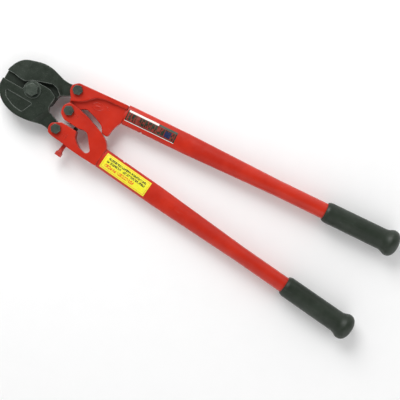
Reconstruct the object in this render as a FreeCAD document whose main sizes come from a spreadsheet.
import FreeCAD, Part
import math
import os
import re
import Sketcher

# Compound-lever bolt cutters with round shearing blades, lying closed on one face.
# All flat pieces are drawn about the blade pivot: X runs from the jaws to the handles, Y towards the
# upper handle, and Z = 0 is the plane midway through the tool, in which the two blades shear.
# Each body's Placement then carries it to the part's own origin, under the middle of the closed tool.

SIZES = {
    # linkage, closed
    "tail_pin_x": 57.0,
    "tail_pin_y": 31.8,
    "handle_pivot_x": 60.5,
    # blades
    "blade_half": 9.5,
    "tail_half": 4.5,
    "shear_gap": 0.2,
    "hub_radius": 13.2,
    "jaw_round": 2.4,
    "jaw_recess": 1.5,
    "jaw_slope_start": -19.0,
    "tip_half": 4.6,
    "tail_slope_start": 36.0,
    "tail_slope_end": 42.0,
    # fittings
    "cheek_half": 10.2,
    "web_half": 4.5,
    "slot_half": 4.7,
    "mouth_half": 7.4,
    "tail_slot_radius": 15.0,
    "web_slot_radius": 16.2,
    "tang_length": 38.0,
    "tang_root": 0.9,
    # fasteners
    "running_gap": 0.05,
    "pivot_radius": 6.0,
    "pivot_thread_radius": 5.0,
    "pivot_flats": 17.0,
    "pivot_head": 5.5,
    "pivot_nut": 10.0,
    "washer_radius": 12.6,
    "washer_thick": 1.5,
    "pin_radius": 4.0,
    "pin_thread_radius": 3.9,
    "pin_flats": 13.0,
    "pin_head": 5.3,
    "pin_nut": 8.0,
    "free_pin_hole": 6.4,
    # adjusting screw
    "screw_radius": 3.4,
    "screw_pitch": 1.25,
    "screw_length": 48.9,
    "screw_head": 5.6,
    "screw_head_flats": 9.2,
    "screw_point_x": 80.5,
    "screw_point_y": -15.65,
    "screw_turn": -95.0,
    # handles
    "mouth_x": 133.0,
    "upper_mouth_y": 36.2,
    "lower_mouth_y": -35.7,
    "upper_angle": 3.9,
    "lower_angle": -5.0,
    "tube_width": 30.0,
    "tube_thick": 14.0,
    "tube_corner": 5.4,
    "tube_round_radius": 11.75,
    "tube_wall": 1.8,
    "tube_flat_length": 96.0,
    "tube_taper_end": 243.0,
    "tube_length": 430.0,
    "dimple_start": 30.6,
    "dimple_radius": 2.6,
    # grips and labels
    "grip_radius": 15.4,
    "grip_flare": 19.5,
    "grip_length": 116.5,
    "upper_grip_start": 319.7,
    "lower_grip_start": 322.2,
    "grip_end_wall": 4.0,
    "label_thick": 0.25,
    "upper_label_start": 2.0,
    "upper_label_length": 78.0,
    "upper_label_width": 17.0,
    "lower_label_start": 4.7,
    "lower_label_length": 77.0,
    "lower_label_width": 22.6,
    # place of the blade pivot in the part's own frame, set once the whole tool has been measured
    "pivot_x": 0.0,
    "pivot_y": 0.0,
    "pivot_z": 0.0,
}

PLANE_ROLE = {"XY": "XY_Plane", "XZ": "XZ_Plane", "YZ": "YZ_Plane"}

doc = FreeCAD.newDocument("BoltCutters")
sheet = doc.addObject("Spreadsheet::Sheet", "Sizes")
for row, (alias, number) in enumerate(SIZES.items(), start=1):
    sheet.set(f"A{row}", alias)
    sheet.set(f"B{row}", str(number))
    sheet.setAlias(f"B{row}", alias)
doc.recompute()


def size(alias):
    return float(sheet.get(alias))


def cell(expression):
    """Write an expression over the sheet's aliases, such as 'blade_half * 2', as the document reads it."""
    return re.sub(r"[a-z_]+", lambda word: f"Sizes.{word[0]}" if word[0] in SIZES else word[0], expression)


def vector(x, y, z=0.0):
    return FreeCAD.Vector(x, y, z)


# ---------------------------------------------------------------- bodies, sketches and features

def make_body(label, x="0", y="0", z="0", turn="0", axis=(0, 0, 1)):
    """A body whose own origin lies at x, y, z from the blade pivot, turned about axis."""
    body = doc.addObject("PartDesign::Body", label)
    body.Label = label
    body.Placement = FreeCAD.Placement(vector(0, 0), FreeCAD.Rotation(vector(*axis), 1.0))
    for name, own in (("x", x), ("y", y), ("z", z)):
        body.setExpression(f"Placement.Base.{name}", cell(f"pivot_{name} + {own}"))
    body.setExpression("Placement.Rotation.Angle", cell(turn))
    return body


def make_sketch(body, plane="XY", x="0", y="0", z="0", tilt=0.0):
    """A sketch on one of the body's origin planes, moved by x, y, z and tilted about its own Y axis."""
    sketch = body.newObject("Sketcher::SketchObject", f"{body.Name}_outline")
    origin_plane = [f for f in body.Origin.OriginFeatures if f.Role == PLANE_ROLE[plane]][0]
    sketch.AttachmentSupport = [(origin_plane, "")]
    sketch.MapMode = "FlatFace"
    sketch.AttachmentOffset = FreeCAD.Placement(vector(0, 0), FreeCAD.Rotation(vector(0, 1, 0), tilt))
    for name, own in (("x", x), ("y", y), ("z", z)):
        if own != "0":
            sketch.setExpression(f"AttachmentOffset.Base.{name}", cell(own))
    return sketch


def rounded(corners):
    """Turn corners into lines and tangent arcs. A corner is (x, y, radius); with no radius given, its
    arc is as large as its two sides allow, and radius 0 leaves it sharp."""
    points = [vector(c[0], c[1]) for c in corners]
    count = len(points)
    half_turns, cuts = [], []
    for i, corner in enumerate(corners):
        inward, outward = points[i - 1] - points[i], points[(i + 1) % count] - points[i]
        half_turns.append((math.pi - inward.getAngle(outward)) / 2)
        cuts.append(None if len(corner) == 2 else corner[2] * math.tan(half_turns[i]))
    ends = []
    for i, here in enumerate(points):
        cut = cuts[i]
        if cut is None:
            rooms = []
            for j in ((i - 1) % count, (i + 1) % count):
                side = (points[j] - here).Length
                rooms.append(side / 2 if cuts[j] is None else side - cuts[j])
            cut = min(rooms)
        inward = (points[i - 1] - here).normalize()
        outward = (points[(i + 1) % count] - here).normalize()
        radius = cut / math.tan(half_turns[i])
        depth = radius / math.cos(half_turns[i]) - radius
        middle = here + (inward + outward).normalize() * depth
        ends.append((here + inward * cut, middle, here + outward * cut))
    shapes = []
    for i, (start, middle, end) in enumerate(ends):
        if (end - start).Length > 1e-6:
            shapes.append(Part.Arc(start, middle, end))
        following = ends[(i + 1) % count][0]
        if (following - end).Length > 1e-6:
            shapes.append(Part.LineSegment(end, following))
    return shapes


def draw_outline(sketch, corners):
    sketch.addGeometry(rounded(corners), False)


def draw_circle(sketch, radius):
    """A circle about the sketch's own origin, with its radius bound to the sheet."""
    circle = sketch.addGeometry(Part.Circle(vector(0, 0), vector(0, 0, 1), 1.0), False)
    sketch.addConstraint(Sketcher.Constraint("Coincident", circle, 3, -1, 1))
    bound = sketch.addConstraint(Sketcher.Constraint("Radius", circle, 1.0))
    sketch.setExpression(f"Constraints[{bound}]", cell(radius))


def draw_hexagon(sketch, flats):
    """A regular hexagon about the sketch's own origin, with its size across flats bound to the sheet."""
    corner = [vector(math.cos(math.radians(60 * k)), math.sin(math.radians(60 * k))) for k in range(6)]
    sides = [Part.LineSegment(corner[k], corner[(k + 1) % 6]) for k in range(6)]
    sketch.addGeometry(sides, False)
    ring = sketch.addGeometry(Part.Circle(vector(0, 0), vector(0, 0, 1), 1.0), True)
    sketch.addConstraint(Sketcher.Constraint("Coincident", ring, 3, -1, 1))
    for k in range(6):
        sketch.addConstraint(Sketcher.Constraint("Coincident", k, 2, (k + 1) % 6, 1))
        sketch.addConstraint(Sketcher.Constraint("PointOnObject", k, 1, ring))
        if k:
            sketch.addConstraint(Sketcher.Constraint("Equal", 0, k))
    sketch.addConstraint(Sketcher.Constraint("PointOnObject", 0, 1, -1))
    bound = sketch.addConstraint(Sketcher.Constraint("Radius", ring, 1.0))
    sketch.setExpression(f"Constraints[{bound}]", cell(f"{flats} / 2 / cos(30)"))


def extrude(kind, body, sketch, length, symmetric=False, reverse=False):
    """A Pad or Pocket of one sketch. Symmetric lengths are whole lengths, across the sketch's plane."""
    feature = body.newObject(f"PartDesign::{kind}", f"{body.Name}_{kind.lower()}")
    feature.Profile = sketch
    feature.SideType = "Symmetric" if symmetric else "One side"
    feature.Reversed = reverse
    feature.setExpression("Length", cell(length))
    body.Tip = feature
    doc.recompute()
    return feature


def turn_profile(kind, body, sketch, axis):
    """A Revolution or Groove of one sketch about one of its own axes."""
    feature = body.newObject(f"PartDesign::{kind}", f"{body.Name}_{kind.lower()}")
    feature.Profile = sketch
    feature.ReferenceAxis = (sketch, [axis])
    feature.Angle = 360.0
    body.Tip = feature
    doc.recompute()
    return feature


def bore(body, radius, length, x="0", y="0"):
    sketch = make_sketch(body, "XY", x, y)
    draw_circle(sketch, radius)
    return extrude("Pocket", body, sketch, length, symmetric=True)


def dress(kind, body, chosen, amount):
    """Fillet or chamfer the edges of the body's last feature for which chosen(edge) is true."""
    base = body.Tip
    names = [f"Edge{i}" for i, edge in enumerate(base.Shape.Edges, start=1) if chosen(edge)]
    feature = body.newObject(f"PartDesign::{kind}", f"{body.Name}_{kind.lower()}")
    feature.Base = (base, names)
    feature.setExpression("Radius" if kind == "Fillet" else "Size", cell(amount))
    body.Tip = feature
    doc.recompute()
    return feature


def lies_at(edge, height):
    """True for an edge that lies wholly at one height above the shear plane."""
    box = edge.BoundBox
    return abs(box.ZMin - height) < 1e-4 and abs(box.ZMax - height) < 1e-4


def between(start, end, part):
    """The sharp corner that lies part of the way from one point to another."""
    return (start[0] + (end[0] - start[0]) * part, start[1] + (end[1] - start[1]) * part, 0)


def polar(radius, degrees):
    return (radius * math.cos(math.radians(degrees)), radius * math.sin(math.radians(degrees)))


# ---------------------------------------------------------------- blades

TIP_X = -46.2
UPPER_TIP, LOWER_TIP = (TIP_X, 10.4, 12), (TIP_X, -15.0, 12)
UPPER_TAIL_ROOT, LOWER_TAIL_ROOT = (46.0, 17.6, 20), (46.0, -19.2, 20)
UPPER_CROTCH, LOWER_CROTCH = (35.4, 11.2, 5), (34.6, -15.6, 5)
TAIL_END = 8.5
TAIL_ROUND = 8.0
HUB = size("hub_radius")
HUB_CLEARANCE = 0.3
LIP_Y = -5.3            # cutting edge of the lower blade, which is also the shear line
LAMINA_Y = -6.3         # cutting edge of the upper blade, a millimetre past the lip when closed


def tail_end(side):
    """The round end of a tail, as the outer and inner corners of a square about its pin."""
    pin = vector(size("tail_pin_x"), side * size("tail_pin_y"))
    along = vector(pin.x, pin.y).normalize() * TAIL_END
    across = vector(-along.y, along.x) * side
    outer = pin + along + across
    inner = pin + along - across
    return [(outer.x, outer.y, TAIL_ROUND), (inner.x, inner.y, TAIL_ROUND)]


def upper_back():
    """The upper blade's back, from the tip over the top and round the tail to its inner edge."""
    back = [(-40.2, 24.8), (-29.7, 34.3), (-5.0, 41.7), (9.3, 41.7), (33.3, 34.5), (44.0, 35.0, 12)]
    return back + tail_end(1) + [UPPER_TAIL_ROOT]


def lower_back():
    """The lower blade's back, from the tip round the bottom and the tail to its inner edge."""
    back = [(-40.6, -27.2), (-29.1, -37.0), (-11.4, -43.2), (7.8, -43.2), (38.4, -35.7, 30)]
    return back + tail_end(-1) + [LOWER_TAIL_ROOT]


def upper_cutting_layer():
    """Behind the shear plane the upper blade reaches down to its cutting edge and round the hub."""
    hub_corner = polar(HUB / math.cos(math.radians(30.75)), 239.25)
    crotch = [UPPER_CROTCH, (33.0, -7.0, 5), (21.0, -HUB, 8)]
    return [(TIP_X, LAMINA_Y, 0), UPPER_TIP] + upper_back() + crotch + [
        hub_corner, (-11.6, LAMINA_Y, 0)]


def upper_backing_layer():
    """In front of it the blade stands back from the lip, the hub and the other blade's swing."""
    round_hub = polar((HUB + HUB_CLEARANCE) / math.cos(math.radians(7.75)), 117.25)
    inner = [between(UPPER_TAIL_ROOT, UPPER_CROTCH, 0.8), (29.8, 19.4, 3), (21.0, 21.75, 4),
             (*round_hub, 13.4), (-15.5, 5.6, 8), (-26.0, 5.6), (-34.0, 7.6, 10)]
    return [(TIP_X, 7.6, 0), UPPER_TIP] + upper_back() + inner


def lower_cutting_layer():
    """In front of the shear plane the lower blade carries the lip, the hub and the crotch."""
    crotch = [LOWER_CROTCH, (32.6, -8.0, 8), (34.0, 7.0, 5), (21.0, HUB, 8)]
    return [(TIP_X, LIP_Y, 0), LOWER_TIP] + lower_back() + crotch + [
        (-HUB, HUB, HUB), (-HUB, LIP_Y, 0.6)]


def lower_backing_layer():
    inner = [between(LOWER_TAIL_ROOT, LOWER_CROTCH, 0.75), (29.8, -19.4, 3), (21.0, -21.75, 4),
             (-5.4, -12.5, 3), (-12.0, -17.6, 4)]
    return [between(LOWER_TIP, lower_back()[0], 0.22)] + lower_back() + inner


def jaw_recess(side):
    """A shallow three-cornered hollow in the face of a jaw."""
    corners = [(-34.5, -17.0, 2), (-29.0, -26.5, 8), (-14.0, -33.5, 30), (1.5, -35.2, 4), (9.5, -17.0, 2)]
    return [(x, -side * y, r) for x, y, r in corners]


def make_blade(label, side, cutting_layer, backing_layer, hole_at_tail):
    """side is +1 for the upper blade, whose cutting layer lies behind the shear plane."""
    in_front = side < 0
    blade = make_body(label)
    gap = "shear_gap / 2" if in_front else "0 - shear_gap / 2"
    layer = make_sketch(blade, "XY", z=gap)
    draw_outline(layer, cutting_layer)
    extrude("Pad", blade, layer, "blade_half - shear_gap / 2", reverse=not in_front)
    layer = make_sketch(blade, "XY", z=gap)
    draw_outline(layer, backing_layer)
    extrude("Pad", blade, layer, "blade_half + shear_gap / 2", reverse=in_front)
    half = size("blade_half")

    def slope_face(face, tilt, start, end, thin, beyond):
        """Slope one face down from full thickness at start to thin at end, and on to beyond."""
        profile = make_sketch(blade, "XZ", tilt=tilt)
        wedge = [(start, face * (half + 0.01), 0), (end, face * thin, 5), (beyond, face * thin, 0),
                 (beyond, face * 2 * half, 0), (start, face * 2 * half, 0)]
        draw_outline(profile, wedge)
        extrude("Pocket", blade, profile, "tail_pin_y * 3", symmetric=True)
    # thin the tail to fit between the cheeks of its fitting
    tail_angle = math.degrees(math.atan2(size("tail_pin_y"), size("tail_pin_x"))) * side
    slope_start, slope_end = size("tail_slope_start"), size("tail_slope_end")
    for face in (1, -1):
        slope_face(face, tail_angle, slope_start, slope_end, size("tail_half"), 90.0)

    def outer_rim(edge):
        inward = side * edge.CenterOfMass.y < 24 and edge.CenterOfMass.x > TIP_X + 1
        return (lies_at(edge, half) or lies_at(edge, -half)) and not inward
    dress("Fillet", blade, outer_rim, "jaw_round")
    face = 1 if in_front else -1
    slope_face(-face, 0.0, size("jaw_slope_start"), TIP_X, size("tip_half"), TIP_X - 15)
    recess = make_sketch(blade, "XY", z=f"{'0 - ' if face < 0 else ''}blade_half")
    draw_outline(recess, jaw_recess(side))
    extrude("Pocket", blade, recess, "jaw_recess", reverse=not in_front)
    bore(blade, "pivot_radius + running_gap", "blade_half * 4")
    tail_y = "tail_pin_y" if side > 0 else "0 - tail_pin_y"
    bore(blade, hole_at_tail, "blade_half * 4", "tail_pin_x", tail_y)
    return blade


# ---------------------------------------------------------------- fittings

def oval_arcs(shrink):
    """The tube's flat oval is four tangent arcs. Drawn inwards by shrink, it has this crown radius, and
    its crown and side arcs touch at these distances from the middle."""
    a, b = size("tube_width") / 2 - shrink, size("tube_thick") / 2 - shrink
    corner = size("tube_corner") - shrink
    crown = (a * a + b * b - 2 * a * corner) / (2 * (b - corner))
    lean = math.asin((a - corner) / (crown - corner))
    return crown, crown * math.sin(lean), crown * math.cos(lean) - (crown - b)


def draw_four_arcs(sketch, a, b, touch_x, touch_z):
    """A closed oval with half axes a and b, whose arcs meet at touch_x, touch_z in each quarter."""
    touches = [vector(touch_x, touch_z), vector(-touch_x, touch_z), vector(-touch_x, -touch_z),
               vector(touch_x, -touch_z)]
    crowns = [vector(0, b), vector(-a, 0), vector(0, -b), vector(a, 0)]
    sketch.addGeometry([Part.Arc(touches[k], crowns[k], touches[(k + 1) % 4]) for k in range(4)], False)


def draw_oval(sketch, shrink):
    _, touch_x, touch_z = oval_arcs(shrink)
    draw_four_arcs(sketch, size("tube_width") / 2 - shrink, size("tube_thick") / 2 - shrink, touch_x, touch_z)


def thin_towards_mouth(body):
    """Slope both faces down from the cheeks to the height at the mouth of the tube."""
    cheek, mouth = size("cheek_half"), size("mouth_half")
    start, slope_start, slope_end, beyond = 60.0, 100.0, 130.0, 190.0
    for face in (1, -1):
        profile = make_sketch(body, "XZ")
        wedge = [(start, face * cheek, 0), (slope_start, face * cheek, 30), (slope_end, face * mouth, 12),
                 (beyond, face * mouth, 0), (beyond, face * 2 * cheek, 0), (start, face * 2 * cheek, 0)]
        draw_outline(profile, wedge)
        extrude("Pocket", body, profile, "tail_pin_y * 6", symmetric=True)


def add_tang(body, mouth_y, angle):
    """The flat oval tang that the tube is pressed over."""
    tang = make_sketch(body, "YZ", x=f"{mouth_y} - tang_root * tan({angle})", z="mouth_x - tang_root",
                       tilt=size(angle))
    tang_gap = 0.15
    draw_oval(tang, size("tube_wall") + tang_gap)
    extrude("Pad", body, tang, "tang_length + tang_root")


def cut_slot(body, x, y, radius):
    """The round-bottomed slot in which the neighbouring lever turns."""
    slot = make_sketch(body, "XY", x, y)
    draw_circle(slot, radius)
    extrude("Pocket", body, slot, "slot_half * 2", symmetric=True)


def make_upper_fitting():
    fitting = make_body("upper_fitting")
    # the thick cheeks run along the top edge and step down to the plate
    top = [(131.5, 49.2, 1.5), (53.5, 42.0, 5)]
    clevis_end = [(45.6, 35.0, 7), (46.6, 27.0, 9), (53.2, 17.5, 8)]
    step = [(54.2, 13.2, 1), (70.0, 20.6, 40), (86.0, 36.2, 18), (97.0, 39.6, 30), (131.5, 43.4, 0)]
    cheek = make_sketch(fitting)
    draw_outline(cheek, top + clevis_end + step)
    extrude("Pad", fitting, cheek, "cheek_half * 2", symmetric=True)
    thin_towards_mouth(fitting)
    # the plate, its web round the handle pivot and its stop lug
    web = [(60.0, 30.0, 1), (53.4, 17.0, 4), (54.2, 11.5, 3), (48.6, 4.0, 6)]
    lobe = [(48.6, -11.9, 11.9), (72.4, -11.9, 11.9), (73.2, 10.0, 1.5)]
    belly = [(80.5, 14.9, 7), (98.0, 10.0, 40), (111.0, 4.6, 16)]
    lug = [(117.0, -5.4, 5), (126.2, -5.6, 4), (127.6, 10.0, 40)]
    plate = make_sketch(fitting)
    draw_outline(plate, [(133.3, 22.6, 1), (131.5, 48.0, 1), (60.0, 41.5, 1)] + web + lobe + belly + lug)
    extrude("Pad", fitting, plate, "web_half * 2", symmetric=True)
    add_tang(fitting, "upper_mouth_y", "upper_angle")
    cut_slot(fitting, "tail_pin_x", "tail_pin_y", "tail_slot_radius")
    bore(fitting, "pin_radius + running_gap", "cheek_half * 4", "tail_pin_x", "tail_pin_y")
    bore(fitting, "pin_radius + running_gap", "cheek_half * 4", "handle_pivot_x", "0")
    return fitting


def make_lower_fitting():
    fitting = make_body("lower_fitting")
    inner_arm = [(57.4, 11.3, 7), (68.0, 10.2, 40), (88.0, 6.0, 60), (119.0, -5.4, 60), (129.5, -13.0, 20)]
    mouth = [(134.2, -21.4, 0.8), (131.4, -50.2, 0.8)]
    outer_arm = [(108.0, -49.2, 80), (84.0, -47.2, 80), (72.0, -44.9, 40), (57.0, -43.8, 10)]
    tail_lobe = [(48.5, -41.5, 6), (45.6, -34.0, 8), (46.8, -27.2, 6), (59.0, -19.6, 5)]
    window = [(84.0, -20.2, 1.2), (86.8, -30.0, 14), (98.5, -39.2, 16), (110.5, -42.0, 5),
              (115.4, -36.6, 3.5), (98.8, -14.6, 7), (91.0, -13.9, 5), (85.5, -15.6, 8)]
    pivot_lobe = [(59.5, -14.3, 9), (51.6, -8.6, 8), (49.3, -1.0, 10), (51.2, 6.2, 8)]
    outline = make_sketch(fitting)
    draw_outline(outline, inner_arm + mouth + outer_arm + tail_lobe + window + pivot_lobe)
    extrude("Pad", fitting, outline, "cheek_half * 2", symmetric=True)
    thin_towards_mouth(fitting)
    add_tang(fitting, "lower_mouth_y", "lower_angle")
    cut_slot(fitting, "tail_pin_x", "0 - tail_pin_y", "tail_slot_radius")
    cut_slot(fitting, "handle_pivot_x", "0", "web_slot_radius")
    bore(fitting, "pin_radius + running_gap", "cheek_half * 4", "tail_pin_x", "0 - tail_pin_y")
    bore(fitting, "pin_radius + running_gap", "cheek_half * 4", "handle_pivot_x", "0")
    screw_hole = make_sketch(fitting, "YZ", x="screw_point_y", z="screw_point_x", tilt=size("screw_turn"))
    draw_circle(screw_hole, "screw_radius + running_gap")
    extrude("Pocket", fitting, screw_hole, "screw_length", reverse=True)
    return fitting


# ---------------------------------------------------------------- fasteners

def chamfer_hexagon(body, flats, top, upward):
    """Turn the corners of a hexagon down to a 30-degree cone at its free face."""
    corner = size(flats) / math.sqrt(3)
    face = 0.475 * size(flats)
    drop = (corner + 1 - face) * math.tan(math.radians(30)) * upward
    cone = make_sketch(body, "XZ")
    draw_outline(cone, [(face, top, 0), (corner + 1, top + upward, 0), (corner + 1, top - drop, 0)])
    turn_profile("Groove", body, cone, "V_Axis")


def make_bolt(label, x, y, flats, head, turn, steps):
    """A hexagon-head bolt with its seat at its own origin. steps are (radius, depth) down the shank."""
    seat = "blade_half + washer_thick" if flats == "pivot_flats" else "cheek_half"
    bolt = make_body(label, x, y, seat, turn)
    hexagon = make_sketch(bolt)
    draw_hexagon(hexagon, flats)
    extrude("Pad", bolt, hexagon, head)
    chamfer_hexagon(bolt, flats, size(head), 1)
    profile = [(0.0, 0.0, 0)]
    depth = 0.0
    for radius, reach in steps:
        profile += [(radius, -depth, 0), (radius, -reach, 0)]
        depth = reach
    point = 0.6
    profile[-1] = (profile[-1][0], point - depth, 0)
    profile += [(profile[-1][0] - point, -depth, 0), (0.0, -depth, 0)]
    shank = make_sketch(bolt, "XZ")
    draw_outline(shank, profile)
    turn_profile("Revolution", bolt, shank, "V_Axis")
    return bolt


def make_lock_nut(label, x, y, flats, height, thread, seat, turn):
    """A lock nut seated at its own origin and reaching down from it, and the nylon ring in its collar."""
    nut = make_body(label, x, y, f"0 - {seat}", turn)
    hexagon = make_sketch(nut)
    draw_hexagon(hexagon, flats)
    extrude("Pad", nut, hexagon, f"{height} * 0.7", reverse=True)
    chamfer_hexagon(nut, flats, -0.7 * size(height), -1)
    depth, bore_radius = size(height), size(thread) + 0.02
    outer, ring = 0.45 * size(flats), 0.3 * size(flats) + 0.9
    hex_depth, recess, lip = 0.65 * depth, 0.7 * depth, 0.95 * depth
    collar = make_sketch(nut, "XZ")
    draw_outline(collar, [(ring, -hex_depth, 0), (outer, -hex_depth, 0), (outer, -depth, 0.8),
                          (ring, -depth, 0)])
    turn_profile("Revolution", nut, collar, "V_Axis")
    bore(nut, f"{thread} + 0.02", f"{height} * 3")
    insert = make_body(f"{label}_insert", x, y, f"0 - {seat}")
    section = make_sketch(insert, "XZ")
    draw_outline(section, [(bore_radius, -recess, 0), (ring, -recess, 0), (ring, -lip, 0.4),
                           (bore_radius, -lip, 0.4)])
    turn_profile("Revolution", insert, section, "V_Axis")
    return nut


def make_washer():
    washer = make_body("blade_pivot_washer", z="blade_half")
    ring = make_sketch(washer)
    draw_circle(ring, "washer_radius")
    extrude("Pad", washer, ring, "washer_thick")
    bore(washer, "pivot_radius + running_gap", "washer_thick * 4")
    thick = size("washer_thick")
    dress("Chamfer", washer, lambda edge: lies_at(edge, thick) and edge.Length > 60, "washer_thick / 3")
    return washer


def make_adjusting_screw():
    """A square-headed screw along its body's own X axis, from its point to its head."""
    screw = make_body("adjusting_screw", "screw_point_x", "screw_point_y", "0", "screw_turn")
    radius, pitch = size("screw_radius"), size("screw_pitch")
    root = radius - 0.54 * pitch
    profile = [(0.0, 0.0, 0), (0.0, root, 0)]
    thread_start, threads = 1.0, 29
    for k in range(threads):
        groove = thread_start + k * pitch
        profile += [(groove, root, 0), (groove + pitch / 2, radius, 0)]
    thread_end = thread_start + threads * pitch
    head_start = size("screw_length") - size("screw_head")
    profile += [(thread_end, root, 0), (thread_end + 0.6, radius, 0), (head_start - 2.0, radius, 1),
                (head_start, radius + 1.1, 0), (head_start, 0.0, 0)]
    shank = make_sketch(screw)
    draw_outline(shank, profile)
    turn_profile("Revolution", screw, shank, "H_Axis")
    half = size("screw_head_flats") / 2
    head = make_sketch(screw, "YZ", z="screw_length - screw_head")
    draw_outline(head, [(half, half, 0.8), (-half, half, 0.8), (-half, -half, 0.8), (half, -half, 0.8)])
    extrude("Pad", screw, head, "screw_head")
    return screw


# ---------------------------------------------------------------- handles

def cross_section(body, place, shrink, rounded_tube):
    """The tube's outline at one place along it, drawn inwards by shrink: a flat oval or a circle."""
    sketch = make_sketch(body, "YZ", z=place)
    if rounded_tube:
        radius = size("tube_round_radius") - shrink
        draw_four_arcs(sketch, radius, radius, *polar(radius, 30))
    else:
        draw_oval(sketch, shrink)
    return sketch


def loft(kind, body, first, second):
    feature = body.newObject(f"PartDesign::{kind}", f"{body.Name}_loft")
    feature.Profile = first
    feature.Sections = [second]
    feature.Ruled = True
    body.Tip = feature
    doc.recompute()
    return feature


def make_tube(label, mouth_y, turn, inner_side):
    """A handle tube along its body's own X axis: a flat oval, a long taper and a round end."""
    tube = make_body(label, "mouth_x", mouth_y, "0", turn)
    wall = size("tube_wall")
    for solid, taper, shrink in (("Pad", "AdditiveLoft", 0.0), ("Pocket", "SubtractiveLoft", wall)):
        mouth = cross_section(tube, "0", shrink, False)
        extrude(solid, tube, mouth, "tube_flat_length", reverse=solid == "Pocket")
        oval_end = cross_section(tube, "tube_flat_length", shrink, False)
        round_end = cross_section(tube, "tube_taper_end", shrink, True)
        loft(taper, tube, oval_end, round_end)
        grip_end = cross_section(tube, "tube_taper_end", shrink, True)
        extrude(solid, tube, grip_end, "tube_length - tube_taper_end", reverse=solid == "Pocket")
    # the punched dimple that locks the tube on its tang
    dimple = make_sketch(tube, "XY", "dimple_start", f"{inner_side} * (tube_width / 2 + dimple_radius / 2)")
    draw_circle(dimple, "dimple_radius")
    extrude("Pocket", tube, dimple, "tube_thick", symmetric=True)
    return tube


def make_grip(label, mouth_y, turn, start):
    """A moulded grip, closed at its flared end, along its body's own X axis."""
    grip = make_body(label, f"mouth_x + {start} * cos({size(turn)})",
                     f"{mouth_y} + {start} * sin({size(turn)})", "0", turn)
    length, radius, flare = size("grip_length"), size("grip_radius"), size("grip_flare")
    bore_radius = size("tube_round_radius") + 0.02
    floor = length - size("grip_end_wall")
    outside = [(0.0, radius - 1.9, 1.2), (4.5, radius, 9), (length - 22.0, radius + 0.3, 16),
               (length - 14.2, flare, 8), (length - 5.5, flare, 10), (length - 0.9, flare - 8.5, 8),
               (length, 0.0, 0)]
    inside = [(floor, 0.0, 0), (floor, bore_radius, 0), (0.0, bore_radius, 0)]
    section = make_sketch(grip)
    draw_outline(section, outside + inside)
    turn_profile("Revolution", grip, section, "H_Axis")
    return grip


def make_label(label, mouth_y, turn, start, length, width):
    """A thin sheet that follows the flat face of its tube."""
    sheet_body = make_body(label, "mouth_x", mouth_y, "0", turn)
    crown = oval_arcs(0.0)[0]
    centre_z = size("tube_thick") / 2 - crown
    lean = math.asin(size(width) / 2 / crown)
    inner, outer = crown + 0.01, crown + size("label_thick")

    def edge_point(radius, angle):
        return vector(radius * math.sin(angle), centre_z + radius * math.cos(angle))
    section = make_sketch(sheet_body, "YZ", z=start)
    section.addGeometry([
        Part.Arc(edge_point(outer, lean), edge_point(outer, 0), edge_point(outer, -lean)),
        Part.LineSegment(edge_point(outer, -lean), edge_point(inner, -lean)),
        Part.Arc(edge_point(inner, -lean), edge_point(inner, 0), edge_point(inner, lean)),
        Part.LineSegment(edge_point(inner, lean), edge_point(outer, lean)),
    ], False)
    extrude("Pad", sheet_body, section, length)
    return sheet_body


# ---------------------------------------------------------------- the whole tool

make_blade("upper_blade", 1, upper_cutting_layer(), upper_backing_layer(), "free_pin_hole")
make_blade("lower_blade", -1, lower_cutting_layer(), lower_backing_layer(), "pin_radius + running_gap")
make_washer()
pivot_grip = 2 * size("blade_half") + size("washer_thick")
make_bolt("blade_pivot_bolt", "0", "0", "pivot_flats", "pivot_head", "0 - 5",
          [(size("pivot_radius"), pivot_grip),
           (size("pivot_thread_radius"), pivot_grip + size("pivot_nut") - 0.3)])
make_lock_nut("blade_pivot_nut", "0", "0", "pivot_flats", "pivot_nut", "pivot_thread_radius", "blade_half",
              "12")

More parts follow.
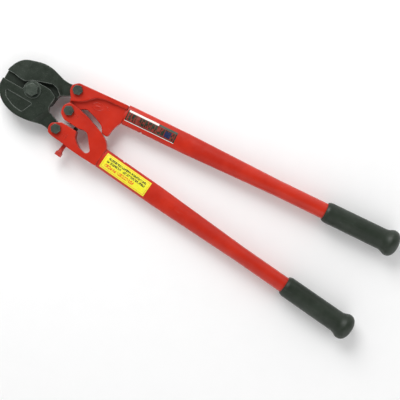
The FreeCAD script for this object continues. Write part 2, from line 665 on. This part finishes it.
make_upper_fitting()
make_lower_fitting()
cheeks = 2 * size("cheek_half")
pin_steps = [(size("pin_radius"), cheeks - 0.3), (size("pin_thread_radius"), cheeks + size("pin_nut") - 0.3)]
PINS = {
    "upper_tail": ("tail_pin_x", "tail_pin_y", "17", "41"),
    "lower_tail": ("tail_pin_x", "0 - tail_pin_y", "5", "22"),
    "handle_pivot": ("handle_pivot_x", "0", "28", "9"),
}
for pin, (x, y, bolt_turn, nut_turn) in PINS.items():
    make_bolt(f"{pin}_bolt", x, y, "pin_flats", "pin_head", bolt_turn, pin_steps)
    make_lock_nut(f"{pin}_nut", x, y, "pin_flats", "pin_nut", "pin_thread_radius", "cheek_half", nut_turn)
make_adjusting_screw()

make_tube("upper_tube", "upper_mouth_y", "upper_angle", "0 - 1")
make_tube("lower_tube", "lower_mouth_y", "lower_angle", "1")
make_grip("upper_grip", "upper_mouth_y", "upper_angle", "upper_grip_start")
make_grip("lower_grip", "lower_mouth_y", "lower_angle", "lower_grip_start")
make_label("upper_label", "upper_mouth_y", "upper_angle", "upper_label_start", "upper_label_length",
           "upper_label_width")
make_label("lower_label", "lower_mouth_y", "lower_angle", "lower_label_start", "lower_label_length",
           "lower_label_width")

# put the origin under the middle of the closed tool
doc.recompute()
bodies = [item for item in doc.Objects if item.TypeId == "PartDesign::Body"]
whole = FreeCAD.BoundBox()
for body in bodies:
    whole.add(body.Shape.optimalBoundingBox(False))
middle = {"pivot_x": -whole.Center.x, "pivot_y": -whole.Center.y, "pivot_z": -whole.ZMin}
for alias, value in middle.items():
    sheet.set(f"B{list(SIZES).index(alias) + 1}", str(round(value, 3)))
doc.recompute()

for item in doc.Objects:
    if "Invalid" in item.State or "Error" in item.State:
        raise RuntimeError(f"{item.Name} did not compute: {item.State}")
    if item.TypeId in ("PartDesign::Pocket", "PartDesign::Groove", "PartDesign::SubtractiveLoft"):
        if item.Shape.Volume > item.BaseFeature.Shape.Volume - 0.01:
            raise RuntimeError(f"{item.Name} cuts nothing")

os.makedirs("parts", exist_ok=True)
for body in bodies:
    if body.Shape.isNull() or not body.Shape.isValid() or len(body.Shape.Solids) != 1:
        raise RuntimeError(f"{body.Label} is not one valid solid")
    body.Shape.exportStep(f"parts/{body.Label}.step")
print("pivot at", {alias: size(alias) for alias in middle})
print("overall", whole.XLength, whole.YLength, whole.ZLength)
